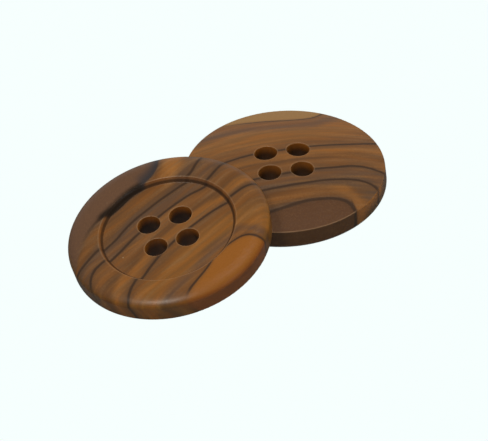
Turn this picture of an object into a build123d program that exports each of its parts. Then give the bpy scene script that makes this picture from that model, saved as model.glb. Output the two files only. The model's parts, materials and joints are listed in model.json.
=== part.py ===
from build123d import *
import os

# A pair of matching sew-on buttons, 36 ligne, each turned from one blank of satin wood-look
# polyester: a domed back with a crisp edge, a nearly upright side, a rounded shoulder, a broad
# rim and a shallow dished centre with four sewing holes. One button lies back up on its rim.
# The other is face up, with its low edge on the table and its domed back leaning on the first.
#
# A button is drawn in its own frame: axis on Z, top of the domed back at Z = 0, face towards +Z.
# The pair stands on Z = 0, with the origin under the middle of its bounding box.

# The button's section (mm)
outer_diameter = 23.0
thickness = 4.2
dome_height = 1.5
back_edge_radius = 11.4
back_edge_rounding = 0.08
widest_height = 3.18
crest_radius = 9.4
lip_radius = 7.85
lip_height = 4.1
lip_rounding = 0.1
dish_floor_radius = 7.45
dish_floor_height = 3.58
dish_cove_radius = 0.22

# The sewing holes (mm and degrees)
hole_count = 4
hole_radius = 1.3
hole_circle_radius = 2.6
hole_edge_rounding = 0.08
first_hole_angle = 45

# How the pair lies (mm and degrees). The lower button's axis is the pair's first origin, and
# upper_foot is the plan place of the upper button's back. The upper button is raised on the side
# that faces lean_heading, with a hair of clearance, 0.05 mm, where it rests on the lower one.
lower_spin = 5.0
upper_spin = 10.2
upper_foot = (-12.85, -11.62)
lean_heading = 41.7
lean_angle = 12.3


def round_corner(section, corner, radius):
    """Rounds the corner of the section that is nearest to a point."""
    fillet(section.vertices().sort_by_distance(corner)[0], radius)


def half_section():
    """The face between the button's axis and its outline, in the XZ plane."""
    outer_radius = outer_diameter / 2
    with BuildSketch(Plane.XZ) as section:
        with BuildLine():
            back = TangentArc((0, 0), (back_edge_radius, dome_height), tangent=(1, 0))
            Line(back @ 1, (outer_radius, widest_height))
            shoulder = EllipticalCenterArc(
                (crest_radius, widest_height),
                x_radius=outer_radius - crest_radius,
                y_radius=thickness - widest_height,
                start_angle=0,
                arc_size=90,
            )
            rim = TangentArc(shoulder @ 1, (lip_radius, lip_height), tangent=(-1, 0))
            step = Line(rim @ 1, (dish_floor_radius, dish_floor_height))
            dish_floor = Line(step @ 1, (0, dish_floor_height))
            Line(dish_floor @ 1, (0, 0))
        make_face()
        round_corner(section, back @ 1, back_edge_rounding)
        round_corner(section, step @ 0, lip_rounding)
        round_corner(section, step @ 1, dish_cove_radius)
    return section.sketch


def button():
    """One button in its own frame."""
    with BuildPart() as turned:
        add(half_section())
        revolve(axis=Axis.Z)
        with PolarLocations(hole_circle_radius, hole_count, start_angle=first_hole_angle):
            Cylinder(hole_radius, 3 * thickness, mode=Mode.SUBTRACT)
        walls = turned.faces().filter_by(GeomType.CYLINDER)
        mouths = [edge for wall in walls for edge in wall.edges() if edge.geom_type != GeomType.LINE]
        fillet(mouths, hole_edge_rounding)
    return turned.part


def lying_back_up(piece):
    """Turns a button over, so that it lies on its rim on Z = 0, about the Z axis."""
    return Rot(Z=lower_spin) * Pos(Z=thickness) * Rot(X=180) * piece


def leaning_face_up(piece):
    """Tips a button so that its side nearer to the lower one is raised, and sets it on Z = 0."""
    heading = Vector(1, 0, 0).rotate(Axis.Z, lean_heading)
    hinge_line = Axis((0, 0, 0), heading.cross(Vector(0, 0, 1)))
    tipped = (Rot(Z=upper_spin) * piece).rotate(hinge_line, lean_angle)
    return Pos(*upper_foot, -tipped.bounding_box().min.Z) * tipped


pair = {
    "button_back_up": lying_back_up(button()),
    "button_face_up": leaning_face_up(button()),
}
middle = Compound(list(pair.values())).bounding_box().center()

os.makedirs("parts", exist_ok=True)
for node, piece in pair.items():
    export_step(Pos(-middle.X, -middle.Y) * piece, f"parts/{node}.step")
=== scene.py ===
import json
from math import cos, radians, sin

import bpy
from mathutils import Matrix, Vector

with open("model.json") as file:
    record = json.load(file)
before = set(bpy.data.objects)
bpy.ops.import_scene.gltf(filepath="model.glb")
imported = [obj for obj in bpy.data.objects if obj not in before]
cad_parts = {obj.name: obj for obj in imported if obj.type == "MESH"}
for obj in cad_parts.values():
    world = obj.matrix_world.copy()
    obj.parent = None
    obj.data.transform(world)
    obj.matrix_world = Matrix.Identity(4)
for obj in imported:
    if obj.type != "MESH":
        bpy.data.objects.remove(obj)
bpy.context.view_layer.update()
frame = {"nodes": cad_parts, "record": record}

# Two matching sew-on buttons: one lies back up, and the other is face up and leans on it. Both are
# CAD pieces that keep their shapes. This script makes their imitation wood, and the setting.

# Camera: a long lens from the front, looking down on the pair, rolled a little. Its target and its
# distances are in metres, and the lens and the sensor in mm.
VIEW_ELEVATION = radians(37.6)
VIEW_ROLL = radians(-3.55)
VIEW_DISTANCE = 0.700
VIEW_TARGET = Vector((0.001693, -0.003928, 0.0036))
LENS = 462.4
SENSOR_WIDTH = 36.0
NEAREST, FARTHEST = 0.01, 20.0

# The button's own frame, in mm: axis on Z, top of the domed back at 0, face towards +Z. A hole's
# centre is HOLE_OFFSET from the axis both ways, and its bore's middle is at HOLE_MIDDLE.
MM = 0.001
HOLE_MIDDLE = 1.83
HOLE_OFFSET = 1.84
HOLE_RADIUS = 1.3
STEP_FOOT_RADIUS = 7.45
LIP_RADIUS = 7.85
BACK_EDGE_RADIUS = 11.4
BACK_EDGE_HEIGHT = 1.5

# The grain, in mm: layers that run along the grain, wander a little and slant as they go down
# through the button. A line's curve can reach GRAIN_SPAN either way.
GRAIN_SPAN = 12.0
GRAIN_DIP = 0.4
WANDER_WIDTH = 0.20
SLOPE_STEP = 0.2

# A grain line: a dark core with soft sides, and a faint halo. The reaches are in half widths.
LINE_HALF_WIDTH = 0.15
CORE_REACH, CORE_FULL, CORE_STRENGTH = 1.5, 0.4, 0.80
HALO_REACH, HALO_STRENGTH = 4.5, 0.16

# Noises: cycles per mm along the grain, across its layers and down (or in x, y and z), then detail
# and roughness.
WANDER = ((0.30, 0.70, 1.0), 3, 0.5)
STREAKS = ((0.10, 1.6, 0.4), 3, 0.5)
FIBRES = ((0.7, 7.0, 2.0), 3, 0.6)
WARMTH = ((0.20, 2.0, 0.6), 2, 0.5)
MOTTLE = ((5.0, 5.0, 5.0), 3, 0.7)

# How far each noise swings the shade, towards DARK_GRAIN one way and PALE_GRAIN the other.
STREAK_SWING = 0.72
FIBRE_SWING = 0.08
MOTTLE_SWING = 0.40

# Warmer and cooler stretches: where the noise is fully cool and fully warm.
COOL_BELOW, WARM_ABOVE = 0.34, 0.66

# Pale specks, in cells of about 1.8 mm: sizes are in cells, and few cells have one.
SPECK_CELLS = 0.55
SPECK_REACH, SPECK_FULL = 0.07, 0.035
SPECK_CHANCE = (0.80, 0.84)
SPECK_STRENGTH = 0.5

# A flare between the top two lines, and painted light on the upright side below the back edge at
# the
# same end of the grain: the strata where each fades in and out, and where along the grain it begins
# and is full, in mm. GLOW_ON_LINE is the painted light's strength where a line crosses it.
FLARE_STRATA, FLARE_START = (3.15, 3.40, 3.60, 3.95), (3.5, 6.5)
GLOW_STRATA, GLOW_START = (2.0, 2.7, 3.80, 3.98), (5.0, 8.0)
GLOW_ON_LINE = 0.3

# Painted shade and light in hollows, painted highlights on edges: how strongly each shows, from 0
# to 1.
# Painted shade deep in the bores and painted light near their mouths:
BORE_SHADE_AND_LIGHT = 0.80
# Painted light on the dish's step:
STEP_LIGHT = 0.40
FOOT_SHADE = 0.75
# Painted highlights on the dish's lip, the holes' rims and the back edge:
LIP_HIGHLIGHT = 0.22
RIM_HIGHLIGHT = 0.30
CREST_HIGHLIGHT, LOBE_CREST_HIGHLIGHT = 0.08, 0.38

# Where they fade in and out, in mm from an edge of the shape: in from the first offset to the
# second, and out from a third to a fourth.
FOOT_FADE = (-0.10, 0.0, 0.15, 0.30)
LIP_FADE = (-0.06, 0.0, 0.04, 0.14)
RIM_FADE = (-0.01, 0.02, 0.05, 0.16)
CREST_FADE = (-0.14, -0.07, 0.0, 0.10)
BORE_FADE = (0.02, -0.01)
STEP_FOOT_FADE, STEP_LIP_FADE = (0.10, 0.25), (0.02, -0.05)
SIDE_RADIUS_FADE, SIDE_HEIGHT_FADE = (-0.30, 0.05), (0.0, 0.12)
GLOW_RADIUS_FADE, GLOW_HEIGHT_FADE = (-0.06, 0.0), (-0.06, -0.01, 0.20, 1.50)

# The heights where the face's side of the button begins and how far from its middle a bore turns
# from painted shade to painted light, in mm, and the strata where the upright side's painted shade
# changes its tint.
FACE_HEIGHTS = (3.30, 3.50)
MOUTH_DISTANCES = (0.4, 1.6)
SIDE_TINT_STRATA = (0.0, -0.05)

# Stains beside the top line: how they fade in and out, in mm, and their strength.
STAIN_EDGE, STAIN_BODY = 0.22, 0.35
STAIN_START, STAIN_END = 1.2, 1.0
STAIN_STRENGTH = 0.94

# The surface: satin, rougher in the streaks and at the dish's foot. The bump's depth is in mm.
ROUGHNESS = 0.28
STREAK_ROUGHNESS = 0.08
MOTTLE_ROUGHNESS = 0.10
FOOT_ROUGHNESS = 0.50
REFRACTION = 1.52
BUMP_STRENGTH, BUMP_DEPTH = 0.35, 0.015

# Colours, linear.
ORANGE = (0.210, 0.083, 0.0175, 1)
AMBER = (0.202, 0.080, 0.0150, 1)
BROWN = (0.168, 0.068, 0.0180, 1)
RUSSET = (0.152, 0.061, 0.0150, 1)
UMBER = (0.140, 0.060, 0.0180, 1)
EMBER = (0.125, 0.052, 0.0145, 1)
MAUVE = (0.127, 0.058, 0.0225, 1)
DUSK = (0.108, 0.055, 0.0250, 1)
FLARE = (0.32, 0.135, 0.032, 1)
LINE = (0.042, 0.021, 0.010, 1)
DARK_GRAIN = (0.02, 0.012, 0.008, 1)
PALE_GRAIN = (0.42, 0.22, 0.08, 1)
SPECK = (0.38, 0.28, 0.16, 1)
SOOT = (0.010, 0.005, 0.0015, 1)
SMOKE = (0.034, 0.028, 0.028, 1)
# Painted highlight on edges.
EDGE_HIGHLIGHT = (0.36, 0.21, 0.10, 1)
# Painted light on the bores' walls near their mouths.
LIT_BORE_WALL = (0.54, 0.185, 0.018, 1)
# Painted light on the dish's step.
LIT_STEP_FACE = (0.27, 0.090, 0.012, 1)
SHADOW = (0.031, 0.011, 0.0015, 1)
# Painted light on the upright side below the back edge.
PAINTED_SIDE_LIGHT = (0.36, 0.130, 0.013, 1)
FLOOR_WHITE = (0.925, 1.0, 0.99, 1)
ROOM_WHITE = (1, 1, 1, 1)

# The setting: the floor's side is in metres. The room's light is dim, and what the camera sees of
# the room is as bright as the floor.
FLOOR_SIZE = 6.0
FLOOR_ROUGHNESS = 0.9
ROOM_LIGHT = 0.15
ROOM_SEEN = 1.0

# Tints that multiply a colour: cool and warm stretches of grain, and the painted shade of the
# upright side, in the lobe below line 1 and elsewhere.
COOL = (0.86, 0.94, 1.14, 1)
WARM = (1.10, 1.03, 0.84, 1)
LOW_LOBE_SIDE = (0.92, 0.78, 0.45, 1)
OTHER_SIDE = (1.14, 1.06, 0.42, 1)

# Band colours by stratum, the same for both buttons: line 1 lies at stratum 0, line 2 at 1, and so
# on up to line 5. Below line 1 and above line 5 each button has a lobe of its own colour, where a
# mm is LOBE_RATE of a stratum. Streaks show only in the body, between the lobes.
BANDS = (
    (0.04, RUSSET), (0.11, BROWN), (0.19, MAUVE), (0.27, MAUVE), (0.42, AMBER), (0.66, AMBER),
    (0.86, RUSSET), (0.97, UMBER), (1.06, UMBER), (1.24, ORANGE), (1.33, ORANGE), (1.44, EMBER),
    (1.56, EMBER), (1.72, BROWN), (1.90, UMBER), (2.08, DUSK), (2.28, MAUVE), (2.58, MAUVE),
    (2.80, DUSK), (3.12, DUSK), (3.28, EMBER), (3.44, RUSSET), (3.66, RUSSET), (3.82, EMBER),
    (3.92, DUSK),
)
LOW_LOBE_TOP, HIGH_LOBE_FOOT = -0.08, 4.05
STRATUM_LOW, STRATUM_HIGH = -1.0, 5.0
LOBE_RATE = 0.15
BODY_STRATA = (-0.12, 0.10, 3.90, 4.10)

# Each button's grain. A stain: its colour, from how far to how far above the top line it lies, and
# from where to where along the grain, in mm. A line: where along the grain it begins to show and is
# full, its thickness against the others, and its points along and across the grain, in mm.
FACE_UP = {
    "grain_angle": radians(28),
    "face_height": 4.15,
    "low_lobe": (0.244, 0.084, 0.009, 1),
    "high_lobe": (0.109, 0.054, 0.027, 1),
    "flare": 0.50,
    "stains": (
        (SOOT, -0.36, 0.75, -3.4, 2.4),
        (SMOKE, -0.30, 1.80, 3.2, 8.0),
    ),
    "lines": (
        (-6.0, -4.4, 0.95, ((-12, -10.6), (-4.9, -9.2), (-2.3, -8.6), (-1, -8.2), (0.4, -7.65),
                            (1.8, -7.45), (3.3, -7.6), (4.6, -8.0), (5.3, -8.6), (5.9, -9.6))),
        (-12, -11, 1.15, ((-12, -5.6), (-9.5, -4.3), (-8.2, -3.6), (-6.1, -2.7), (-3.2, -1.9),
                          (-0.6, -1.5), (3, -1.4), (6, -1.7), (8, -2.2), (12, -2.5))),
        (-12, -11, 1.15, ((-11.2, 0.6), (-10.2, 1.3), (-8.4, 1.8), (-5.7, 2.15), (-2.4, 2.6),
                          (1.4, 2.75), (4.7, 2.55), (7.6, 1.95), (9, 2.1), (10.6, 2.6))),
        (-12, -11, 1.15, ((-12, 3.6), (-10, 3.2), (-7.1, 3.7), (-4.8, 3.95), (-2.3, 4.45),
                          (1, 4.6), (5, 4.4), (7.2, 4.25), (8.2, 4.6), (9.7, 5.4))),
        (-9, -3, 1.3, ((-10, 4.4), (-7.6, 5.9), (-5, 7.0), (-1.5, 7.5), (1, 7.7), (3, 7.5),
                       (5, 7.9), (6.3, 9.2))),
    ),
}
BACK_UP = {
    "grain_angle": radians(-2),
    "face_height": 0.0,
    "low_lobe": (0.257, 0.135, 0.039, 1),
    "high_lobe": (0.088, 0.038, 0.0145, 1),
    "flare": 0.30,
    "stains": (),
    "lines": (
        (-9, -1, 0.7, ((-12, -10.8), (-4.7, -10.0), (-1.7, -9.4), (0.3, -8.95), (2.3, -8.7),
                       (3.5, -8.75), (4.5, -9.0), (5.8, -10.0))),
        (-12, -11, 1.15, ((-12, -1.5), (-6.4, -1.9), (-3.9, -2.1), (0.1, -2.05), (3.3, -2.2),
                          (6.1, -2.4), (9.1, -2.8), (12, -3.5))),
        (-12, -11, 1.15, ((-12, 2.7), (-4.1, 2.4), (-0.1, 2.35), (3.1, 2.1), (5.5, 1.9),
                          (7.9, 1.6), (9.2, 1.75), (10.9, 2.5))),
        (-12, -11, 1.15, ((-12, 4.4), (-3.2, 4.45), (0.8, 4.3), (4.9, 4.0), (7.7, 4.05),
                          (8.7, 4.35), (9.3, 4.75), (9.9, 5.9))),
        (-12, -11, 1.5, ((-12, 7.9), (-2.9, 7.65), (-1.3, 7.45), (0.7, 7.05), (2.8, 6.85),
                         (4.7, 6.9), (5.5, 7.1), (6.1, 7.6), (6.6, 9.0))),
    ),
}


# ---- Materials -----------------------------------------------------------------------------------

class Nodes:
    """A material's node tree, with a short call for each kind of node used here."""

    def __init__(self, name):
        self.material = bpy.data.materials.new(name)
        self.material.use_nodes = True
        self.tree = self.material.node_tree
        self.shader = self.tree.nodes["Principled BSDF"]

    def feed(self, socket, value):
        """Links a socket's output to the socket, or sets a plain value on it."""
        if isinstance(value, bpy.types.NodeSocket):
            self.tree.links.new(value, socket)
        else:
            socket.default_value = value

    def add(self, kind, values=(), **settings):
        """A new node, with its first inputs and its settings filled in."""
        node = self.tree.nodes.new(kind)
        for setting, value in settings.items():
            setattr(node, setting, value)
        for index, value in enumerate(values):
            self.feed(node.inputs[index], value)
        return node

    def math(self, operation, *values, clamp=False):
        return self.add("ShaderNodeMath", values, operation=operation, use_clamp=clamp).outputs[0]

    def folded(self, operation, values):
        """Puts the values together, two at a time."""
        result = values[0]
        for value in values[1:]:
            result = self.math(operation, result, value)
        return result

    def total(self, *values):
        return self.folded("ADD", values)

    def product(self, *values):
        return self.folded("MULTIPLY", values)

    def largest(self, *values):
        return self.folded("MAXIMUM", values)

    def distance(self, value, place):
        """How far a value is from a place, either way."""
        return self.math("ABSOLUTE", self.math("SUBTRACT", value, place))

    def length(self, x, y):
        return self.math("SQRT", self.math("MULTIPLY_ADD", x, x, self.math("MULTIPLY", y, y)))

    def swing(self, value, width):
        """Turns 0 to 1 into a swing of the given width, half of it either way of 0."""
        return self.math("MULTIPLY_ADD", value, width, -width / 2)

    def ease(self, value, start, end):
        """Turns smoothly from 0 at start to 1 at end. start may be the larger."""
        node = self.add("ShaderNodeMapRange", interpolation_type="SMOOTHSTEP")
        low, high = min(start, end), max(start, end)
        floor, ceiling = (0.0, 1.0) if start < end else (1.0, 0.0)
        for index, number in enumerate((value, low, high, floor, ceiling)):
            self.feed(node.inputs[index], number)
        return node.outputs["Result"]

    def between(self, value, outer_low, inner_low, inner_high, outer_high):
        """1 between the inner values and 0 outside the outer ones."""
        rise = self.ease(value, outer_low, inner_low)
        return self.math("MULTIPLY", rise, self.ease(value, outer_high, inner_high))

    def past(self, value, edge, offsets):
        """As ease, with its start and end counted from an edge."""
        return self.ease(value, *(edge + offset for offset in offsets))

    def near(self, value, edge, offsets):
        """As between, with its four values counted from an edge."""
        return self.between(value, *(edge + offset for offset in offsets))

    def mix(self, factor, first, second, blend="MIX"):
        node = self.add("ShaderNodeMix", data_type="RGBA", blend_type=blend)
        self.feed(node.inputs["Factor"], factor)
        self.feed(node.inputs[6], first)
        self.feed(node.inputs[7], second)
        return node.outputs[2]

    def tinted(self, factor, colour, tint):
        """Multiplies a colour by a tint, by as much as factor says."""
        return self.mix(factor, colour, self.mix(1.0, colour, tint, "MULTIPLY"))

    def vector(self, x, y, z):
        return self.add("ShaderNodeCombineXYZ", (x, y, z)).outputs[0]

    def noise(self, parts, stretch, detail, roughness):
        """Noise at a point whose parts are each multiplied by a part of stretch."""
        scaled = [self.math("MULTIPLY", part, factor) for part, factor in zip(parts, stretch)]
        node = self.add("ShaderNodeTexNoise")
        self.feed(node.inputs["Vector"], self.vector(*scaled))
        self.feed(node.inputs["Scale"], 1.0)
        self.feed(node.inputs["Detail"], detail)
        self.feed(node.inputs["Roughness"], roughness)
        return node.outputs["Fac"]

    def ramp(self, value, stops):
        """The colour at a value from 0 to 1, between stops of a position and a colour."""
        node = self.add("ShaderNodeValToRGB", (value,))
        elements = node.color_ramp.elements
        elements[0].position, elements[0].color = stops[0]
        elements[1].position, elements[1].color = stops[-1]
        for position, colour in stops[1:-1]:
            elements.new(position).color = colour
        return node.outputs["Color"]

    def curve(self, value, points):
        """A smooth curve through points in mm, over the grain's span either way."""
        node = self.add("ShaderNodeFloatCurve")
        self.feed(node.inputs["Value"], self.math("MULTIPLY_ADD", value, 0.5 / GRAIN_SPAN, 0.5))
        places = [(0.5 + x / (2 * GRAIN_SPAN), 0.5 + y / (2 * GRAIN_SPAN)) for x, y in points]
        curve = node.mapping.curves[0]
        curve.points[0].location = places[0]
        curve.points[1].location = places[-1]
        for place in places[1:-1]:
            curve.points.new(*place)
        node.mapping.update()
        return self.math("MULTIPLY_ADD", node.outputs["Value"], 2 * GRAIN_SPAN, -GRAIN_SPAN)

    def place(self, turn, origin):
        """The three parts of the shaded point in a turned frame, in mm."""
        node = self.add("ShaderNodeMapping", vector_type="TEXTURE")
        self.feed(node.inputs["Vector"], self.add("ShaderNodeTexCoord").outputs["Object"])
        node.inputs["Location"].default_value = origin
        node.inputs["Rotation"].default_value = turn.to_euler("XYZ")
        node.inputs["Scale"].default_value = (MM, MM, MM)
        return self.add("ShaderNodeSeparateXYZ", (node.outputs["Vector"],)).outputs[:]


class WoodLook(Nodes):
    """Cast polyester with imitation wood grain that runs right through a button."""

    def __init__(self, name, turn, origin, pattern):
        super().__init__(name)
        self.pattern = pattern
        self.find_places(turn, origin)
        self.find_lines(pattern["lines"])
        self.body = self.between(self.stratum, *BODY_STRATA)
        self.make_noises()
        colour = self.banded()
        colour = self.streaked(colour)
        colour = self.lined(colour)
        colour = self.specked(colour)
        colour = self.shaded_side(colour)
        colour = self.shaded_hollows(colour)
        colour = self.highlighted_edges(colour)
        colour = self.stained(colour)
        self.finish_surface(colour)

    def find_places(self, turn, origin):
        """Where the shaded point is in the button, and in its grain's layers."""
        self.x, self.y, self.z = self.place(turn, origin)
        self.radius = self.length(self.x, self.y)
        grain_turn = turn @ Matrix.Rotation(self.pattern["grain_angle"], 3, "Z")
        self.along, across, self.height = self.place(grain_turn, origin)
        wander = self.noise((self.along, across, self.height), *WANDER)
        level = GRAIN_DIP * self.pattern["face_height"]
        slant = self.math("MULTIPLY_ADD", self.height, -GRAIN_DIP, level)
        self.layer = self.total(across, slant, self.swing(wander, WANDER_WIDTH))

        # The face's side, the foot of its dish, and the distance to the nearest hole's axis.
        self.face = self.ease(self.z, *FACE_HEIGHTS)
        foot = self.near(self.radius, STEP_FOOT_RADIUS, FOOT_FADE)
        self.foot = self.product(foot, self.face)
        self.hole = self.length(self.math("SUBTRACT", self.math("ABSOLUTE", self.x), HOLE_OFFSET),
                                self.math("SUBTRACT", self.math("ABSOLUTE", self.y), HOLE_OFFSET))

    def find_lines(self, lines):
        """The point's stratum, its height above the top line, and how strongly a line marks it."""
        curves = [self.curve(self.along, points) for *_, points in lines]
        gaps = [self.math("SUBTRACT", self.layer, curve) for curve in curves]
        strata = [self.math("MAXIMUM", self.math("MULTIPLY", gaps[-1], LOBE_RATE), 0.0),
                  self.math("MINIMUM", self.math("MULTIPLY", gaps[0], LOBE_RATE), 0.0)]
        for gap, low, high in zip(gaps, curves, curves[1:]):
            strata.append(self.math("DIVIDE", gap, self.math("SUBTRACT", high, low), clamp=True))
        self.stratum = self.total(*strata)
        self.above_top = gaps[-1]

        ahead = self.math("ADD", self.along, SLOPE_STEP)
        marks = []
        for (hidden, full, thickness, points), curve, gap in zip(lines, curves, gaps):
            rise = self.math("SUBTRACT", self.curve(ahead, points), curve)
            slope = self.math("DIVIDE", rise, SLOPE_STEP)
            distance = self.math("DIVIDE", self.math("ABSOLUTE", gap), self.length(slope, 1.0))
            marks.append(self.product(self.mark(distance, LINE_HALF_WIDTH * thickness),
                                      self.ease(self.along, hidden, full)))
        self.line = self.total(*marks)

    def mark(self, distance, half_width):
        """How dark a line is at a distance from its middle."""
        core = self.ease(distance, half_width * CORE_REACH, half_width * CORE_FULL)
        halo = self.ease(distance, half_width * HALO_REACH, 0.0)
        core_mark = self.math("MULTIPLY", core, CORE_STRENGTH)
        return self.math("MULTIPLY_ADD", halo, HALO_STRENGTH, core_mark)

    def make_noises(self):
        grain_place = (self.along, self.layer, self.height)
        self.streaks = self.noise(grain_place, *STREAKS)
        self.fibres = self.noise(grain_place, *FIBRES)
        self.warmth = self.noise(grain_place, *WARMTH)
        self.mottle = self.noise((self.x, self.y, self.z), *MOTTLE)

    def banded(self):
        """The layers' colours, with a flare between the top two lines at the grain's far end."""
        span = STRATUM_HIGH - STRATUM_LOW
        low_lobe = (LOW_LOBE_TOP, self.pattern["low_lobe"])
        high_lobe = (HIGH_LOBE_FOOT, self.pattern["high_lobe"])
        levels = (low_lobe, *BANDS, high_lobe)
        stops = [((level - STRATUM_LOW) / span, colour) for level, colour in levels]
        position = self.math("MULTIPLY_ADD", self.stratum, 1 / span, -STRATUM_LOW / span)
        flare = self.product(self.between(self.stratum, *FLARE_STRATA),
                             self.ease(self.along, *FLARE_START), self.pattern["flare"])
        return self.mix(flare, self.ramp(position, stops), FLARE)

    def streaked(self, colour):
        """Broad streaks, fine fibres and a mottle, in warmer and cooler stretches."""
        shade = self.total(self.product(self.swing(self.streaks, STREAK_SWING), self.body),
                           self.swing(self.fibres, FIBRE_SWING),
                           self.swing(self.mottle, MOTTLE_SWING))
        colour = self.mix(self.math("MULTIPLY", shade, -1.0, clamp=True), colour, DARK_GRAIN)
        colour = self.mix(self.math("MULTIPLY", shade, 1.0, clamp=True), colour, PALE_GRAIN)
        tint = self.ramp(self.warmth, ((COOL_BELOW, COOL), (WARM_ABOVE, WARM)))
        return self.tinted(self.body, colour, tint)

    def lined(self, colour):
        return self.mix(self.math("MINIMUM", self.line, 1.0), colour, LINE)

    def specked(self, colour):
        point = self.vector(self.x, self.y, self.z)
        cells = self.add("ShaderNodeTexVoronoi", (point,), feature="F1")
        cells.inputs["Scale"].default_value = SPECK_CELLS
        draw = self.add("ShaderNodeSeparateColor", (cells.outputs["Color"],)).outputs["Red"]
        size = self.ease(cells.outputs["Distance"], SPECK_REACH, SPECK_FULL)
        speck = self.product(size, self.ease(draw, *SPECK_CHANCE), SPECK_STRENGTH)
        return self.mix(speck, colour, SPECK)

    def shaded_side(self, colour):
        """Painted shade: a deeper upright side. Painted light: the side below the back edge, at the
        far end of the top layers.
        """
        # Painted shade: the upright side tinted deeper and more saturated.
        side = self.product(self.past(self.radius, BACK_EDGE_RADIUS, SIDE_RADIUS_FADE),
                            self.past(self.z, BACK_EDGE_HEIGHT, SIDE_HEIGHT_FADE))
        low_lobe = self.ease(self.stratum, *SIDE_TINT_STRATA)
        tint = self.mix(low_lobe, OTHER_SIDE, LOW_LOBE_SIDE)
        colour = self.tinted(side, colour, tint)
        # Painted light on the upright side just below the back edge, in the top layers' orange.
        off_line = self.math("MULTIPLY_ADD", self.line, GLOW_ON_LINE - 1.0, 1.0, clamp=True)
        glow = self.product(self.between(self.stratum, *GLOW_STRATA),
                            self.ease(self.along, *GLOW_START),
                            self.past(self.radius, BACK_EDGE_RADIUS, GLOW_RADIUS_FADE),
                            self.near(self.z, BACK_EDGE_HEIGHT, GLOW_HEIGHT_FADE),
                            off_line)
        return self.mix(glow, colour, PAINTED_SIDE_LIGHT)

    def shaded_hollows(self, colour):
        """Painted shade deep in the bores and painted light near their mouths, painted light on the
        dish's step, and painted shade at its foot.
        """
        bore = self.past(self.hole, HOLE_RADIUS, BORE_FADE)
        mouth = self.ease(self.distance(self.z, HOLE_MIDDLE), *MOUTH_DISTANCES)
        # Painted shade deep in a bore, turning to painted light near its mouths.
        wall = self.mix(mouth, SHADOW, LIT_BORE_WALL)
        # Painted light on the step between its foot and its lip.
        step = self.product(self.past(self.radius, STEP_FOOT_RADIUS, STEP_FOOT_FADE),
                            self.past(self.radius, LIP_RADIUS, STEP_LIP_FADE))
        colour = self.mix(self.product(bore, BORE_SHADE_AND_LIGHT), colour, wall)
        colour = self.mix(self.product(step, self.face, self.body, STEP_LIGHT), colour, LIT_STEP_FACE)
        return self.mix(self.product(self.foot, FOOT_SHADE), colour, SHADOW)

    def highlighted_edges(self, colour):
        """Painted highlights on edges: the dish's lip, the holes' rims and the back edge."""
        # Painted highlights, strongest on the back edge in the high lobe.
        lip = self.near(self.radius, LIP_RADIUS, LIP_FADE)
        rim = self.near(self.hole, HOLE_RADIUS, RIM_FADE)
        crest = self.product(self.near(self.radius, BACK_EDGE_RADIUS, CREST_FADE),
                             self.near(self.z, BACK_EDGE_HEIGHT, CREST_FADE))
        high_lobe = self.ease(self.stratum, *BODY_STRATA[2:])
        lobe_highlight = LOBE_CREST_HIGHLIGHT - CREST_HIGHLIGHT
        crest_highlight = self.math("MULTIPLY_ADD", high_lobe, lobe_highlight, CREST_HIGHLIGHT)
        pale = self.largest(self.product(lip, self.face, LIP_HIGHLIGHT),
                            self.product(rim, RIM_HIGHLIGHT),
                            self.product(crest, crest_highlight))
        return self.mix(pale, colour, EDGE_HIGHLIGHT)

    def stained(self, colour):
        """Dark stains beside the top line, sharp towards it and soft away from it."""
        for stain, low, high, start, end in self.pattern["stains"]:
            beside = self.between(self.above_top, low, low + STAIN_EDGE, low + STAIN_BODY, high)
            reach = self.between(self.along, start - STAIN_START, start, end, end + STAIN_END)
            colour = self.mix(self.product(beside, reach, STAIN_STRENGTH), colour, stain)
        return colour

    def finish_surface(self, colour):
        """Colour, roughness and a fine bump."""
        self.feed(self.shader.inputs["Base Color"], colour)
        roughness = self.total(self.product(self.streaks, STREAK_ROUGHNESS),
                               self.product(self.mottle, MOTTLE_ROUGHNESS),
                               self.product(self.foot, FOOT_ROUGHNESS), ROUGHNESS)
        self.feed(self.shader.inputs["Roughness"], roughness)
        self.shader.inputs["IOR"].default_value = REFRACTION
        bump = self.add("ShaderNodeBump")
        bump.inputs["Strength"].default_value = BUMP_STRENGTH
        bump.inputs["Distance"].default_value = BUMP_DEPTH * MM
        self.feed(bump.inputs["Height"], self.math("ADD", self.fibres, self.mottle))
        self.feed(self.shader.inputs["Normal"], bump.outputs["Normal"])


def button_frame(prefix, face_sign):
    """The button's own frame in the model: its turn and its origin, from its four hole mounts."""
    holes = [mount for mount in frame["record"]["mounts"] if mount["name"].startswith(prefix)]
    holes.sort(key=lambda mount: mount["name"])
    places = [Vector(mount["pos_m"]) for mount in holes]
    z_axis = Vector(holes[0]["axis"]).normalized() * face_sign
    x_axis = ((places[0] - places[1]) + (places[3] - places[2])).normalized()
    y_axis = z_axis.cross(x_axis)
    middle = sum(places, Vector()) / len(places)
    turn = Matrix((x_axis, y_axis, z_axis)).transposed()
    return turn, middle - z_axis * HOLE_MIDDLE * MM


def dress(node, mount_prefix, face_sign, pattern):
    """Dresses a CAD button. face_sign is 1 if its mounts' axes point out of its face, else -1."""
    turn, origin = button_frame(mount_prefix, face_sign)
    piece = frame["nodes"][node]
    subparts = frame["record"]["subparts"]
    slot = next(part["material_slot"] for part in subparts if part["node"] == node)
    piece.data.materials.clear()
    piece.data.materials.append(WoodLook(slot, turn, origin, pattern).material)


dress("button_face_up", "face_up_hole", 1, FACE_UP)
dress("button_back_up", "back_up_hole", -1, BACK_UP)


# ---- Floor, light and camera ---------------------------------------------------------------------

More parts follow.
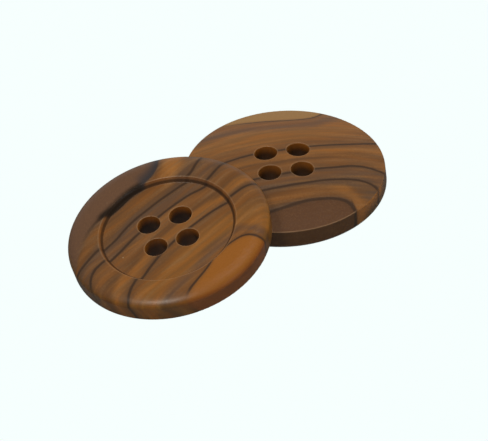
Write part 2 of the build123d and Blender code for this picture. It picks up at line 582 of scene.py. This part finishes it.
def floor(name, height, albedo, glow):
    """A level square of plain matt material."""
    material = bpy.data.materials.new(name)
    material.use_nodes = True
    shader = material.node_tree.nodes["Principled BSDF"]
    shader.inputs["Base Color"].default_value = (albedo, albedo, albedo, 1)
    shader.inputs["Roughness"].default_value = FLOOR_ROUGHNESS
    shader.inputs["Specular IOR Level"].default_value = 0.0
    shader.inputs["Emission Color"].default_value = FLOOR_WHITE
    shader.inputs["Emission Strength"].default_value = glow
    mesh = bpy.data.meshes.new(name)
    half = FLOOR_SIZE / 2
    corners = [(-half, -half, height), (half, -half, height),
               (half, half, height), (-half, half, height)]
    mesh.from_pydata(corners, [], [(0, 1, 2, 3)])
    mesh.materials.append(material)
    piece = bpy.data.objects.new(name, mesh)
    bpy.context.scene.collection.objects.link(piece)
    return piece


def softbox(name, place, width, depth, power, colour=(1, 1, 1)):
    """A soft area light that looks at the origin."""
    light = bpy.data.lights.new(name, "AREA")
    light.shape = "RECTANGLE"
    light.size = width
    light.size_y = depth
    light.energy = power
    light.color = colour
    lamp = bpy.data.objects.new(name, light)
    lamp.location = place
    lamp.rotation_euler = (-Vector(place)).to_track_quat("-Z", "Y").to_euler()
    bpy.context.scene.collection.objects.link(lamp)
    return lamp


def light_room():
    """A dim room that looks as white as the floor."""
    world = bpy.data.worlds.new("studio")
    world.use_nodes = True
    nodes, links = world.node_tree.nodes, world.node_tree.links
    room = nodes["Background"]
    room.inputs["Color"].default_value = ROOM_WHITE
    room.inputs["Strength"].default_value = ROOM_LIGHT
    seen = nodes.new("ShaderNodeBackground")
    seen.inputs["Color"].default_value = FLOOR_WHITE
    seen.inputs["Strength"].default_value = ROOM_SEEN
    rays = nodes.new("ShaderNodeLightPath")
    choice = nodes.new("ShaderNodeMixShader")
    links.new(rays.outputs["Is Camera Ray"], choice.inputs["Fac"])
    links.new(room.outputs["Background"], choice.inputs[1])
    links.new(seen.outputs["Background"], choice.inputs[2])
    links.new(choice.outputs["Shader"], nodes["World Output"].inputs["Surface"])
    bpy.context.scene.world = world
    bpy.context.scene.view_settings.view_transform = "Standard"


def set_camera():
    """Aims the camera at the target, from the view's elevation and with its roll."""
    data = bpy.data.cameras.new("camera")
    data.lens = LENS
    data.sensor_width = SENSOR_WIDTH
    data.clip_start = NEAREST
    data.clip_end = FARTHEST
    camera = bpy.data.objects.new("camera", data)
    forward = Vector((0, cos(VIEW_ELEVATION), -sin(VIEW_ELEVATION)))
    level_right = Vector((1, 0, 0))
    level_up = Vector((0, sin(VIEW_ELEVATION), cos(VIEW_ELEVATION)))
    right = cos(VIEW_ROLL) * level_right + sin(VIEW_ROLL) * level_up
    up = cos(VIEW_ROLL) * level_up - sin(VIEW_ROLL) * level_right
    pose = Matrix((right, up, -forward)).transposed().to_4x4()
    pose.translation = VIEW_TARGET - forward * VIEW_DISTANCE
    camera.matrix_world = pose
    bpy.context.scene.collection.objects.link(camera)
    bpy.context.scene.camera = camera


# The floor that the camera sees gives off its own even light, like a light table. The one just
# under it stands for it in the light that it throws back onto the buttons.
shown_floor = floor("floor", height=0.0, albedo=0.0, glow=1.0)
shown_floor.visible_diffuse = False
shown_floor.visible_glossy = False
shown_floor.visible_shadow = False
bounce_floor = floor("floor_bounce", height=-0.0001, albedo=0.5, glow=0.0)
bounce_floor.visible_camera = False
bounce_floor.visible_glossy = False

# The overhead box lights the surfaces, front_left also makes the highlight on the rim, and the
# other two only shine in the gloss. Places and sizes are in metres, and powers in watts.
overhead = softbox("overhead", (0.105, 0.085, 0.58), width=0.28, depth=0.28, power=3.0)
overhead.visible_glossy = False
softbox("front_left", (-0.288, -0.308, 0.68), width=0.24, depth=0.08, power=1.8,
        colour=(1.0, 0.90, 0.78))
front_right = softbox("front_right", (0.51, -0.44, 0.38), width=0.12, depth=0.08, power=0.15)
front_right.visible_diffuse = False
backdrop = softbox("backdrop", (0.05, 0.90, 0.16), width=1.4, depth=0.40, power=0.35)
backdrop.visible_diffuse = False

light_room()
set_camera()
